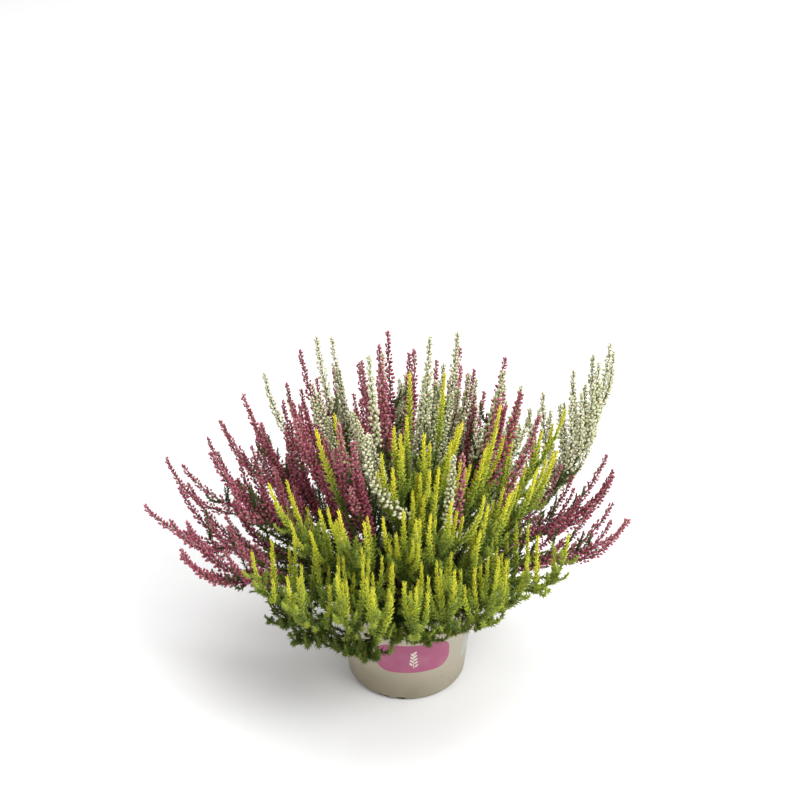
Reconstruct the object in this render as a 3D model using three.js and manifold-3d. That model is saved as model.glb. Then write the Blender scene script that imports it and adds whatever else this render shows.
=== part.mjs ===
// Potted heather: three bud-flowering heathers, golden, rose and cream, grown together in one 13 cm nursery pot.
// Millimetres, +Z up. The origin is the centre of the pot's flat underside. The golden plant fills the front (-Y),
// the rose one mostly the left (-X) and the cream one mostly the back and the right.
// Each spray is one leafy stem with its side shoots, rooted in a hole of its own in the soil.

import * as THREE from 'three';
import { mergeVertices } from 'three/addons/utils/BufferGeometryUtils.js';
import Module from 'manifold-3d';

const wasm = await Module();
wasm.setup();
const { Manifold, Mesh: SolidMesh } = wasm;

// Driving dimensions of the pot and its soil
const pot = {
  height: 100,
  rimRadius: 65, // outside, just under the lip
  footRadius: 55,
  wall: 1.8,
  lipHeight: 5,
  lipProud: 1.2,
  floor: 2.6,
  footBevel: 2.5,
  sides: 32,
};
const drain = { pairs: 3, width: 9, height: 3.4, apart: 17, firstPair: 256, reachIn: 5 }; // slots at the foot
const soil = { top: 93, gap: 0.35, floorGap: 0.3, lump: 1.6, rings: 3, sides: pot.sides / 2 };
const hole = { depth: 14, wider: 0.55, under: 0.5 }; // of a stem, in the soil

// The sprays stand in tiers, spread evenly from one azimuth to another, each letter of plants a spray of one variety.
// Radii and heights are of the spray's main stem, heights from the pot's rim. hole is where it leaves the soil, bend1
// and bend2 are the middle handles of its curve (share of reach, height), forks the places of its side shoots, shoot
// their length, outward and fan how far they lean out and to the side, wider how much more a spray reaches the
// further it stands from the front, and crest how much taller it grows towards the back.
const tiers = [
  { name: 'heart', plants: 'crcgg', from: 20, to: 380, hole: 10, reach: 35, top: 242, bend1: [0.2, 70], bend2: [0.8, 120],
    forks: [0.46, 0.36], shoot: 105, outward: 0.28, fan: 15, rings: [9, 6] },
  { name: 'inner', plants: 'rcrcrrggg', from: 3, to: 363, hole: 23, reach: 92, top: 202, bend1: [0.2, 60],
    bend2: [0.86, 100], forks: [0.46, 0.33], shoot: 108, outward: 0.28, fan: 17, rings: [9, 6], crest: 0.12 },
  { name: 'outer', plants: 'gcrcrrrgggggg', from: 3, to: 363, hole: 35, reach: 148, top: 158, bend1: [0.2, 38],
    bend2: [0.86, 71], forks: [0.5, 0.36], shoot: 98, outward: 0.32, fan: 17, rings: [11, 7] },
  { name: 'rim', plants: 'rrccrcrcrrrr', from: -12, to: 206, hole: 47, reach: 202, top: 78, bend1: [0.1, 40],
    bend2: [0.84, 10], forks: [0.5, 0.32], shoot: 112, outward: 0.62, fan: 17, rings: [9, 6] },
  { name: 'plume', plants: 'c', from: 22, to: 27, hole: 42, reach: 195, top: 216, bend1: [0.5, 36], bend2: [0.98, 48],
    forks: [0.7, 0.61, 0.52, 0.43], shoot: 108, outward: 0.05, fan: 12, rings: [11, 7] },
  { name: 'front', plants: 'ggggggggg', from: 206, to: 342, hole: 47, reach: 130, top: 104, bend1: [0.12, 52],
    bend2: [0.98, -18], forks: [0.6, 0.4], shoot: 82, outward: 0.16, fan: 9, rings: [9, 7], wider: 0.42 },
  { name: 'skirt', plants: 'llll', from: 198.5, to: 258.5, hole: 52, reach: 112, top: 12, bend1: [0.18, 42],
    bend2: [0.86, -38], forks: [0.6], shoot: 40, outward: 0.45, fan: 4, rings: [6, 5], wider: 0.45 },
  { name: 'apron', plants: 'lllll', from: 258, to: 333, hole: 52, reach: 112, top: 34, bend1: [0.18, 34],
    bend2: [0.9, -12], forks: [0.6], shoot: 40, outward: 0.45, fan: 4, rings: [6, 5], wider: 0.1 },
];
const seed = 2839; // of every random draw
const spotty = { azimuth: 0.08, reach: 0.05, top: 0.06, fork: 0.02, fan: [0.8, 1.1], shoot: [0.9, 1.1] }; // spread of draws
const stemRadius = 1.5;
const sideStemRadius = 1.1;

// How each variety's shoots are clothed: the length of the budded end of a shoot, and how far leaves, buds and the
// tip stand out from the middle of the stem.
const habits = {
  golden: { colour: 0xb9be22, budLength: 80, leafRadius: 5.4, budRadius: 5.5, tipRadius: 2.6 },
  green: { colour: 0x6f8c2c, budLength: 30, leafRadius: 5.8, budRadius: 5.8, tipRadius: 3.0 },
  rose: { colour: 0xa53a62, budLength: 100, leafRadius: 4.6, budRadius: 7.0, tipRadius: 2.4 },
  cream: { colour: 0xcfd6b0, budLength: 95, leafRadius: 4.6, budRadius: 6.8, tipRadius: 2.4 },
};
const bare = { main: 0.16, side: 0.1 }; // share of a shoot that stays a bare stem
const relief = { around: 4, valley: 0.42, lean: 0.5, twist: 9, tighten: 0.87, last: 0.965 };

// Small helpers
const rad = (degrees) => (degrees * Math.PI) / 180;
const cosine = (degrees) => Math.cos(rad(degrees));
const polar = (azimuth, radius, z) => new THREE.Vector3(radius * cosine(azimuth), radius * Math.sin(rad(azimuth)), z);
const blendTo = (from, to, x) => {
  const s = Math.min(1, Math.max(0, (x - from) / (to - from)));
  return s * s * (3 - 2 * s);
};

// Seeded draws, so that every build gives the same plant
function drawsFrom(seed) {
  let state = seed;
  const next = (low, high) => {
    state = (state * 16807) % 2147483647;
    return low + ((high - low) * state) / 2147483647;
  };
  for (let i = 0; i < 3; i++) next(0, 1);
  return next;
}

// A closed triangle mesh as a solid, and back
function solidOf(positions, triangles) {
  const made = new SolidMesh({
    numProp: 3,
    vertProperties: new Float32Array(positions),
    triVerts: new Uint32Array(triangles),
  });
  return new Manifold(made);
}

function solidOfGeometry(geometry) {
  const bare = new THREE.BufferGeometry();
  const source = geometry.index ? geometry.toNonIndexed() : geometry;
  bare.setAttribute('position', source.getAttribute('position'));
  const merged = mergeVertices(bare, 1e-4);
  const p = merged.getAttribute('position').array;
  const t = merged.index.array;
  const whole = [];
  for (let i = 0; i < t.length; i += 3) {
    if (t[i] !== t[i + 1] && t[i + 1] !== t[i + 2] && t[i] !== t[i + 2]) whole.push(t[i], t[i + 1], t[i + 2]);
  }
  return solidOf(p, whole);
}

function geometryOf(solid) {
  const mesh = solid.getMesh();
  const geometry = new THREE.BufferGeometry();
  const positions = new Float32Array(mesh.numVert * 3);
  for (let i = 0; i < mesh.numVert; i++) {
    positions.set(mesh.vertProperties.subarray(i * mesh.numProp, i * mesh.numProp + 3), i * 3);
  }
  geometry.setAttribute('position', new THREE.BufferAttribute(positions, 3));
  geometry.setIndex(new THREE.BufferAttribute(new Uint32Array(mesh.triVerts), 1));
  geometry.computeVertexNormals();
  return geometry;
}

function meshOf(name, solid, colour, roughness) {
  const material = new THREE.MeshStandardMaterial({ color: colour, roughness, metalness: 0, flatShading: true });
  const mesh = new THREE.Mesh(geometryOf(solid), material);
  mesh.name = name;
  return mesh;
}

// The corners of a cross-section of a stem, round a point on its middle line
function corners(centre, ahead, side, turn, reachOf, lift) {
  const across = side.clone().addScaledVector(ahead, -side.dot(ahead)).normalize();
  const over = new THREE.Vector3().crossVectors(ahead, across);
  return Array.from({ length: relief.around }, (_, j) => {
    const angle = rad((360 * (j + 0.5)) / relief.around + turn);
    return centre.clone()
      .addScaledVector(across, reachOf(j) * Math.cos(angle))
      .addScaledVector(over, reachOf(j) * Math.sin(angle))
      .addScaledVector(ahead, lift(j));
  });
}

// The plain hole that a stem stands in: its own cross-section, wider all round
function holeSolid({ foot, toward, sideways }) {
  const from = foot.clone().addScaledVector(toward, -hole.depth - hole.under);
  const ends = [from, foot].flatMap((end) => corners(end, toward, sideways, 0, () => stemRadius + hole.wider, () => 0));
  const n = relief.around;
  const triangles = [];
  for (let j = 0; j < n; j++) {
    const k = (j + 1) % n;
    triangles.push(j, k, n + k, j, n + k, n + j);
    if (j > 0 && k > 0) triangles.push(0, k, j, n, n + j, n + k);
  }
  return solidOf(ends.flatMap((p) => [p.x, p.y, p.z]), triangles);
}

// The outside radius of the pot's wall at a height
const wallRadius = (z) => pot.footRadius + ((pot.rimRadius - pot.footRadius) * z) / pot.height;

function potSolid() {
  const lip = pot.rimRadius + pot.lipProud;
  const underLip = pot.height - pot.lipHeight;
  const outline = [
    [0, 0],
    [pot.footRadius - pot.footBevel, 0],
    [wallRadius(pot.footBevel), pot.footBevel],
    [wallRadius(underLip - pot.lipProud), underLip - pot.lipProud],
    [lip, underLip],
    [lip, pot.height - 0.8],
    [lip - 0.8, pot.height],
    [pot.rimRadius - pot.wall, pot.height],
    [wallRadius(pot.floor) - pot.wall, pot.floor],
    [0, pot.floor],
  ];
  const geometry = new THREE.LatheGeometry(outline.map(([r, z]) => new THREE.Vector2(r, z)), pot.sides);
  geometry.rotateX(Math.PI / 2);
  let solid = solidOfGeometry(geometry);
  for (let pair = 0; pair < drain.pairs; pair++) {
    for (const side of [-1, 1]) {
      const azimuth = drain.firstPair + (pair * 360) / drain.pairs + (side * drain.apart) / 2;
      const slot = new THREE.BoxGeometry(drain.reachIn + pot.wall * 2, drain.width, drain.height * 2);
      slot.translate(pot.footRadius - drain.reachIn / 2 + pot.wall, 0, 0);
      slot.rotateZ(rad(azimuth));
      solid = solid.subtract(solidOfGeometry(slot));
    }
  }
  return solid;
}

// The root ball: it fills the pot to just under the rim, with a lumpy top and a plain hole for every stem
function soilSolid(stems) {
  const inside = (z) => wallRadius(z) - pot.wall - soil.gap;
  const low = pot.floor + soil.floorGap;
  const outline = [[0, low], [inside(low), low]];
  for (let i = 0; i < soil.rings; i++) {
    outline.push([inside(soil.top) * (1 - i / soil.rings), soil.top]);
  }
  outline.push([0, soil.top]);
  const geometry = new THREE.LatheGeometry(outline.map(([r, z]) => new THREE.Vector2(r, z)), soil.sides);
  geometry.rotateX(Math.PI / 2);
  const place = geometry.getAttribute('position');
  for (let i = 0; i < place.count; i++) {
    const [x, y, z] = [place.getX(i), place.getY(i), place.getZ(i)];
    if (z < soil.top - 1) continue;
    const edge = Math.hypot(x, y) / inside(soil.top);
    const lumps = Math.sin(x * 0.31 + 1.3) * Math.cos(y * 0.27 - 0.6) + 0.5 * Math.sin((x - y) * 0.53);
    place.setZ(i, soil.top + soil.lump * lumps * (1 - edge ** 4) - 1.5 * edge ** 6);
  }
  let solid = solidOfGeometry(geometry);
  for (const stem of stems) solid = solid.subtract(holeSolid(stem));
  return solid;
}

// One shoot: a stem that opens into rings of pointed buds or leaves, in opposite pairs, each pair crossing the last
// and leaning to the tip
function shootSolid(curve, side, foot, habit, rings, leafFrom, root) {
  const positions = [];
  const triangles = [];
  const length = curve.getLength();
  const stations = [{ u: 0, radius: foot }];
  if (root) stations.push({ u: leafFrom * 0.85, radius: foot });
  if (root) stations.unshift({ u: 0, radius: foot, down: root });
  const budFrom = Math.max(0.22, 1 - habit.budLength / length);
  const steps = (1 - relief.tighten ** (rings - 1)) / (1 - relief.tighten);
  let pitch = (relief.last - leafFrom) / steps;
  for (let i = 0, u = leafFrom; i < rings; i++, u += pitch, pitch *= relief.tighten) {
    const clothed = habit.leafRadius + (habit.budRadius - habit.leafRadius) * blendTo(budFrom - 0.1, budFrom + 0.08, u);
    const radius = habit.tipRadius + (clothed - habit.tipRadius) * (1 - blendTo(0.7, 1.02, u));
    stations.push({ u, radius, lean: relief.lean * Math.min(pitch * length, 2.4 * radius), order: i, bumps: true });
  }
  const n = relief.around;
  for (const { u, radius, down = 0, lean = 0, order = 0, bumps } of stations) {
    const ahead = curve.getTangentAt(u);
    const centre = curve.getPointAt(u).addScaledVector(ahead, -down);
    const peak = (j) => bumps && (order + j) % 2 === 0;
    const reach = (j) => radius * (bumps && !peak(j) ? relief.valley : 1);
    for (const p of corners(centre, ahead, side, order * relief.twist, reach, (j) => (peak(j) ? lean : 0))) {
      positions.push(p.x, p.y, p.z);
    }
  }
  for (let i = 0; i + 1 < stations.length; i++) {
    for (let j = 0; j < n; j++) {
      const k = (j + 1) % n;
      const [a, b, c, d] = [i * n + j, i * n + k, (i + 1) * n + k, (i + 1) * n + j];
      const firstIsPeak = stations[i].bumps ? (stations[i].order + j) % 2 === 0 : (j + 1) % 2 === 0;
      if (firstIsPeak) triangles.push(a, b, d, b, c, d);
      else triangles.push(a, b, c, a, c, d);
    }
  }
  for (let j = 1; j + 1 < n; j++) triangles.push(0, j + 1, j);
  const tip = curve.getPointAt(1);
  const top = (stations.length - 1) * n;
  for (let j = 0; j < n; j++) triangles.push(top + j, top + ((j + 1) % n), positions.length / 3);
  positions.push(tip.x, tip.y, tip.z);
  return solidOf(positions, triangles);
}

// The front of the plant is clipped shorter than its sides, and the left reaches a little further
function reachShare(azimuth, wider) {
  if (wider) return 1 + wider * (1 - cosine(azimuth - 280));
  return 1 - 0.39 * Math.max(0, cosine(azimuth - 270)) ** 1.2 + 0.14 * Math.max(0, cosine(azimuth - 180));
}

// All sprays: name, variety, the foot and direction of the stem, and the curve of every shoot
function layOut() {
  const sprays = [];
  const numbers = {};
  for (const tier of tiers) {
    [...tier.plants].forEach((letter, i) => {
      const draw = drawsFrom(seed * (sprays.length + 1) + 101);
      const around = (spread) => 1 + draw(-spread, spread);
      const step = (tier.to - tier.from) / tier.plants.length;
      const azimuth = tier.from + step * (i + 0.5 * around(2 * spotty.azimuth));
      const reach = tier.reach * reachShare(azimuth, tier.wider) * around(spotty.reach);
      const vigour = around(spotty.top) * (1 + (tier.crest ?? 0) * Math.max(0, cosine(azimuth - 100)));
      const variety = { g: 'golden', l: 'green', r: 'rose', c: 'cream' }[letter];
      const outward = polar(azimuth, 1, 0);
      const sideways = new THREE.Vector3(-outward.y, outward.x, 0);
      const main = new THREE.CubicBezierCurve3(
        polar(azimuth, tier.hole, soil.top + 3),
        polar(azimuth, tier.hole + (reach - tier.hole) * tier.bend1[0], pot.height + tier.bend1[1]),
        polar(azimuth, reach * tier.bend2[0], pot.height + tier.bend2[1] * vigour),
        polar(azimuth, reach, pot.height + tier.top * vigour),
      );
      const shoots = [main];
      tier.forks.forEach((fork, order) => {
        const at = fork + draw(-spotty.fork, spotty.fork);
        const from = main.getPoint(at);
        const ahead = main.getPoint(at + 0.05).sub(from).normalize();
        const fan = (order % 2 ? 1 : -1) * tier.fan * draw(...spotty.fan);
        const length = tier.shoot * draw(...spotty.shoot);
        const lean = length * tier.outward;
        const ceiling = (pot.height + tier.top * vigour) * 0.97;
        const rise = Math.max(length * 0.6, Math.min(length, ceiling - from.z));
        const end = from.clone().addScaledVector(sideways, fan).addScaledVector(outward, lean);
        end.z += rise;
        const leave = from.clone().addScaledVector(ahead, length * 0.28).addScaledVector(sideways, fan * 0.55);
        const arrive = end.clone().addScaledVector(outward, -lean * 0.25);
        arrive.z -= length * 0.45;
        shoots.push(new THREE.CubicBezierCurve3(from, leave, arrive, end));
      });
      const toward = main.getTangent(0);
      numbers[variety] = (numbers[variety] ?? 0) + 1;
      const name = `${variety}_spray_${String(numbers[variety]).padStart(2, '0')}`;
      sprays.push({ name, tier, variety, sideways, foot: main.getPoint(0), toward, shoots });
    });
  }
  return sprays;
}

function spraySolid(spray) {
  const habit = habits[spray.variety];
  let solid;
  spray.shoots.forEach((curve, order) => {
    const foot = order ? sideStemRadius : stemRadius;
    const leafFrom = order ? bare.side : bare.main;
    const shoot = shootSolid(curve, spray.sideways, foot, habit, spray.tier.rings[order ? 1 : 0], leafFrom, order ? 0 : hole.depth);
    solid = solid ? solid.add(shoot) : shoot;
  });
  return solid;
}

const heather = new THREE.Group();
heather.name = 'potted_heather';
const sprays = layOut();
heather.add(meshOf('pot', potSolid(), 0xbdb49e, 0.75));
heather.add(meshOf('soil', soilSolid(sprays), 0x3a2d24, 0.95));
for (const spray of sprays) {
  heather.add(meshOf(spray.name, spraySolid(spray), habits[spray.variety].colour, 0.8));
}

export default heather;
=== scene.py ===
import math

import bmesh
import bpy
from mathutils import Matrix, Vector


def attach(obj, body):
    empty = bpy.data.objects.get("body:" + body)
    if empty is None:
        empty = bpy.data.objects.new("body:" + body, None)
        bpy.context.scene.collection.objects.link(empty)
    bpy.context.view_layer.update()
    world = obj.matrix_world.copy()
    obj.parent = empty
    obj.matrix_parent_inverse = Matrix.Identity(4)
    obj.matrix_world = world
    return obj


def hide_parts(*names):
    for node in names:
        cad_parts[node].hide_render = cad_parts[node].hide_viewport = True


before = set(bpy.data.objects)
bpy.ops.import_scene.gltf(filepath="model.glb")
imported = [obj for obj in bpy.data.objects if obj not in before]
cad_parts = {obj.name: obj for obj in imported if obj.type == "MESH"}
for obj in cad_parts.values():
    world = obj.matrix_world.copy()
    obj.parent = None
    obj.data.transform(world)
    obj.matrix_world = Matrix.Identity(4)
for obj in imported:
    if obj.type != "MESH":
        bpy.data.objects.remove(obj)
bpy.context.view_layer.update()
print("frame loaded")

mm = 0.001


# Seeded draws, the same for every run, as in the part's own source. The first three are left out.
def drawsFrom(seed):
    multiplier, modulus = 16807, 2147483647
    state = seed

    def draw(low, high):
        nonlocal state
        state = state * multiplier % modulus
        return low + (high - low) * state / modulus

    for _ in range(3):
        draw(0, 1)
    return draw


def cosine(degrees):
    return math.cos(math.radians(degrees))


def polar(azimuth, radius, z):
    angle = math.radians(azimuth)
    return Vector((radius * math.cos(angle), radius * math.sin(angle), z))


def easeBetween(low, high, x):
    s = min(1, max(0, (x - low) / (high - low)))
    return s * s * (3 - 2 * s)


# Shader maths as plain expressions: a wire is a socket that can be added, multiplied and so on
class Wire:
    def __init__(self, finish, socket):
        self.finish, self.socket = finish, socket

    def maths(self, operation, *others):
        return self.finish.node("ShaderNodeMath", {"operation": operation}, list(others))

    def __add__(self, other):
        return self.maths("ADD", self, other)

    __radd__ = __add__

    def __mul__(self, other):
        return self.maths("MULTIPLY", self, other)

    __rmul__ = __mul__

    def __sub__(self, other):
        return self.maths("SUBTRACT", self, other)

    def __rsub__(self, other):
        return self.maths("SUBTRACT", other, self)

    def __truediv__(self, other):
        return self.maths("DIVIDE", self, other)

    def power(self, other):
        return self.maths("POWER", self, other)

    def below(self, other):
        return self.maths("LESS_THAN", self, other)

    # From 0 at low to 1 at high, with soft ends
    def above(self, low, high):
        settings = {"interpolation_type": "SMOOTHSTEP"}
        values = {"Value": self, "From Min": low, "From Max": high}
        return self.finish.node("ShaderNodeMapRange", settings, values)


# A procedural material: its shader, and one way to add any node. A tuple of three on a socket is a colour.
class Finish:
    def __init__(self, name, **constants):
        self.material = bpy.data.materials.new(name)
        self.material.use_nodes = True
        self.tree = self.material.node_tree
        self.shader = self.tree.nodes["Principled BSDF"]
        for socket, value in constants.items():
            self.shader.inputs[socket.replace("_", " ")].default_value = value

    def node(self, kind, settings=None, values=None, out=0):
        made = self.tree.nodes.new(kind)
        for key, value in (settings or {}).items():
            if key == "stops":
                while len(made.color_ramp.elements) < len(value):
                    made.color_ramp.elements.new(0.5)
                for element, (place, colour) in zip(made.color_ramp.elements, value):
                    element.position = place
                    element.color = (*colour, 1)
            else:
                setattr(made, key, value)
        pairs = values.items() if isinstance(values, dict) else enumerate(values or [])
        for key, value in pairs:
            if isinstance(value, Wire):
                self.tree.links.new(value.socket, made.inputs[key])
            else:
                made.inputs[key].default_value = (*value, 1) if isinstance(value, tuple) else value
        return Wire(self, made.outputs[out])

    def attribute(self, name):
        return self.node("ShaderNodeAttribute", {"attribute_name": name}, out="Fac")

    def objectPlace(self):
        return self.node("ShaderNodeTexCoord", out="Object")

    def noise(self, scale, detail=2, at=None):
        values = {"Vector": at or self.objectPlace(), "Scale": scale, "Detail": detail}
        return self.node("ShaderNodeTexNoise", None, values, out="Fac")

    def ramp(self, factor, *stops):
        return self.node("ShaderNodeValToRGB", {"stops": stops}, {"Fac": factor})

    def mix(self, factor, first, second, blend="MIX"):
        # The colour sockets of a Mix node are its seventh and eighth, and its colour comes out third
        settings = {"data_type": "RGBA", "blend_type": blend}
        return self.node("ShaderNodeMix", settings, {0: factor, 6: first, 7: second}, out=2)

    def bump(self, height, strength, distance):
        values = {"Height": height, "Strength": strength, "Distance": distance}
        return self.node("ShaderNodeBump", None, values, out="Normal")

    def feed(self, **wires):
        for socket, wire in wires.items():
            self.tree.links.new(wire.socket, self.shader.inputs[socket.replace("_", " ")])
        return self.material


def inMetres(bm):
    bmesh.ops.scale(bm, vec=(mm, mm, mm), verts=bm.verts)
    return bm


def meshOf(name, bm):
    mesh = bpy.data.meshes.new(name)
    bm.to_mesh(mesh)
    bm.free()
    return mesh


def pieceOf(name, bm, *materials, smooth=True):
    mesh = meshOf(name, bm)
    for material in materials:
        mesh.materials.append(material)
    mesh.shade_smooth() if smooth else mesh.shade_flat()
    piece = bpy.data.objects.new(name, mesh)
    bpy.context.scene.collection.objects.link(piece)
    return piece


def onPlant(piece, slot, *nodes):
    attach(piece, "root")
    if nodes:
        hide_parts(*nodes)
    return piece


# Where the sprays stand, tier by tier, as in the part's own source, in millimetres and degrees. In layout,
# azimuth, reach, top and fork say how far a draw may move those values, and a pair is a range to draw from.
potSize = {"height": 100, "rimRadius": 65, "footRadius": 55, "wall": 1.8, "lipHeight": 5, "lipProud": 1.2,
           "floor": 2.6, "footBevel": 2.5, "steps": 144}
soilTop = 93
layout = {"seed": 2839, "seedFrom": 101, "azimuth": 0.08, "reach": 0.05, "top": 0.06, "fork": 0.02,
          "fan": (0.8, 1.1), "shoot": (0.9, 1.1), "footAbove": 3, "ceiling": 0.97, "crestAt": 100}
tiers = [
    {"name": "heart", "plants": "crcgg", "start": 20, "end": 380, "hole": 10, "reach": 35, "top": 242,
     "bend": ((0.2, 70), (0.8, 120)), "forks": (0.46, 0.36), "shoot": 105, "outward": 0.28, "fan": 15},
    {"name": "inner", "plants": "rcrcrrggg", "start": 3, "end": 363, "hole": 23, "reach": 92, "top": 202,
     "bend": ((0.2, 60), (0.86, 100)), "forks": (0.46, 0.33), "shoot": 108, "outward": 0.28, "fan": 17,
     "crest": 0.12},
    {"name": "outer", "plants": "gcrcrrrgggggg", "start": 3, "end": 363, "hole": 35, "reach": 148,
     "top": 158, "bend": ((0.2, 38), (0.86, 71)), "forks": (0.5, 0.36), "shoot": 98, "outward": 0.32,
     "fan": 17},
    {"name": "rim", "plants": "rrccrcrcrrrr", "start": -12, "end": 206, "hole": 47, "reach": 202, "top": 78,
     "bend": ((0.1, 40), (0.84, 10)), "forks": (0.5, 0.32), "shoot": 112, "outward": 0.62, "fan": 17},
    {"name": "plume", "plants": "c", "start": 22, "end": 27, "hole": 42, "reach": 195, "top": 216,
     "bend": ((0.5, 36), (0.98, 48)), "forks": (0.7, 0.61, 0.52, 0.43), "shoot": 108, "outward": 0.05,
     "fan": 12},
    {"name": "front", "plants": "ggggggggg", "start": 206, "end": 342, "hole": 47, "reach": 130, "top": 104,
     "bend": ((0.12, 52), (0.98, -18)), "forks": (0.6, 0.4), "shoot": 82, "outward": 0.16, "fan": 9,
     "wider": 0.42},
    {"name": "skirt", "plants": "llll", "start": 198.5, "end": 258.5, "hole": 52, "reach": 112, "top": 12,
     "bend": ((0.18, 42), (0.86, -38)), "forks": (0.6,), "shoot": 40, "outward": 0.45, "fan": 4,
     "wider": 0.45},
    {"name": "apron", "plants": "lllll", "start": 258, "end": 333, "hole": 52, "reach": 112, "top": 34,
     "bend": ((0.18, 34), (0.9, -12)), "forks": (0.6,), "shoot": 40, "outward": 0.45, "fan": 4,
     "wider": 0.1},
]
varieties = {"g": "golden", "l": "green", "r": "rose", "c": "cream"}
# The plant is shallower in front and longer on the left. A tier with a wider share reaches least at leastAt.
growth = {"shorter": 0.39, "shorterAt": 270, "power": 1.2, "longer": 0.14, "longerAt": 180, "leastAt": 280}
# How a side shoot leaves the main one and arrives at its tip, in shares of its length, fan and lean
forking = {"look": 0.05, "leastRise": 0.6, "leave": 0.28, "leaveFan": 0.55, "arriveLean": 0.25,
           "arriveRise": 0.45}


def reachShare(azimuth, wider):
    if wider:
        return 1 + wider * (1 - cosine(azimuth - growth["leastAt"]))
    shorter = growth["shorter"] * max(0, cosine(azimuth - growth["shorterAt"])) ** growth["power"]
    return 1 - shorter + growth["longer"] * max(0, cosine(azimuth - growth["longerAt"]))


# A shoot's middle line: a Bezier curve with its length and its cross-section's two directions
class Line:
    samples = 48

    def __init__(self, handles, side):
        self.handles = handles
        self.points = [self.bezier(i / self.samples) for i in range(self.samples + 1)]
        self.reached = [0]
        for a, b in zip(self.points, self.points[1:]):
            self.reached.append(self.reached[-1] + (b - a).length)
        self.length = self.reached[-1]
        self.frames = []
        for i in range(self.samples + 1):
            ahead = (self.points[min(i + 1, self.samples)] - self.points[max(i - 1, 0)]).normalized()
            across = (side - ahead * side.dot(ahead)).normalized()
            self.frames.append((ahead, across, ahead.cross(across)))

    def bezier(self, t):
        a, b, c, d = self.handles
        s = 1 - t
        return a * s ** 3 + b * (3 * s * s * t) + c * (3 * s * t * t) + d * t ** 3

    def frameAt(self, distance):
        low, high = 0, self.samples
        while high - low > 1:
            middle = (low + high) // 2
            if self.reached[middle] <= distance:
                low = middle
            else:
                high = middle
        share = (distance - self.reached[low]) / (self.reached[high] - self.reached[low])
        point = self.points[low].lerp(self.points[high], share)
        ahead, across, over = (a.lerp(b, share) for a, b in zip(self.frames[low], self.frames[high]))
        return point, ahead, across, over


def sideShoot(main, tier, at, fan, length, outward, sideways, ceiling):
    start = main.bezier(at)
    ahead = (main.bezier(at + forking["look"]) - start).normalized()
    lean = length * tier["outward"]
    rise = max(length * forking["leastRise"], min(length, ceiling - start.z))
    end = start + sideways * fan + outward * lean + Vector((0, 0, rise))
    leave = start + ahead * (length * forking["leave"]) + sideways * (fan * forking["leaveFan"])
    arrive = end - outward * (lean * forking["arriveLean"]) - Vector((0, 0, length * forking["arriveRise"]))
    return Line((start, leave, arrive, end), sideways)


def layOut():
    sprays, numbers = [], {}
    height = potSize["height"]
    for tier in tiers:
        for i, letter in enumerate(tier["plants"]):
            draw = drawsFrom(layout["seed"] * (len(sprays) + 1) + layout["seedFrom"])

            def around(spread):
                return 1 + draw(-spread, spread)

            step = (tier["end"] - tier["start"]) / len(tier["plants"])
            azimuth = tier["start"] + step * (i + 0.5 * around(2 * layout["azimuth"]))
            reach = tier["reach"] * reachShare(azimuth, tier.get("wider")) * around(layout["reach"])
            crest = 1 + tier.get("crest", 0) * max(0, cosine(azimuth - layout["crestAt"]))
            vigour = around(layout["top"]) * crest
            outward = polar(azimuth, 1, 0)
            sideways = Vector((-outward.y, outward.x, 0))
            (share1, bend1), (share2, bend2) = tier["bend"]
            main = Line((
                polar(azimuth, tier["hole"], soilTop + layout["footAbove"]),
                polar(azimuth, tier["hole"] + (reach - tier["hole"]) * share1, height + bend1),
                polar(azimuth, reach * share2, height + bend2 * vigour),
                polar(azimuth, reach, height + tier["top"] * vigour),
            ), sideways)
            ceiling = (height + tier["top"] * vigour) * layout["ceiling"]
            sides = []
            for order, fork in enumerate(tier["forks"]):
                at = fork + draw(-layout["fork"], layout["fork"])
                fan = (1 if order % 2 else -1) * tier["fan"] * draw(*layout["fan"])
                length = tier["shoot"] * draw(*layout["shoot"])
                sides.append(sideShoot(main, tier, at, fan, length, outward, sideways, ceiling))
            variety = varieties[letter]
            numbers[variety] = numbers.get(variety, 0) + 1
            sprays.append({"name": f"{variety}_spray_{numbers[variety]:02d}", "variety": variety,
                           "tier": tier, "main": main, "sides": sides, "outward": outward,
                           "sideways": sideways, "ceiling": ceiling, "draw": draw})
    return sprays


# How each variety is clothed, in millimetres. A sprig is the straight budded or leafy length that is bent on
# to the shoots: pitch is the rise from one bud or leaf to the next, out how far it stands from the stem's
# middle, open the angle it opens to, bud 1 for buds and 0 for leaves, and leaves their number among ten buds.
sprigs = {
    "golden": {"pitch": 0.56, "out": 2.5, "long": 2.5, "wide": 0.95, "open": 44, "bud": 0, "taper": 0.58,
               "leaves": 0},
    "green": {"pitch": 0.7, "out": 2.5, "long": 2.6, "wide": 0.95, "open": 48, "bud": 0, "taper": 0.6,
              "leaves": 0},
    "rose": {"pitch": 0.8, "out": 3.5, "long": 2.1, "wide": 1.4, "open": 56, "bud": 1, "taper": 0.5,
             "leaves": 5},
    "cream": {"pitch": 0.76, "out": 3.5, "long": 2.1, "wide": 1.45, "open": 56, "bud": 1, "taper": 0.5,
              "leaves": 5},
}
sprigKinds = {"lengths": (36, 58, 84), "each": 2, "seedStep": 977, "seedFrom": 3}
leafTwig = {"pitch": 1.05, "out": 2.1, "long": 2.8, "wide": 0.95, "open": 48, "bud": 0, "taper": 0.6,
            "leaves": 0}
twigKinds = {"length": 34, "each": 3, "seedStep": 71, "seedFrom": 5003}
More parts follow.
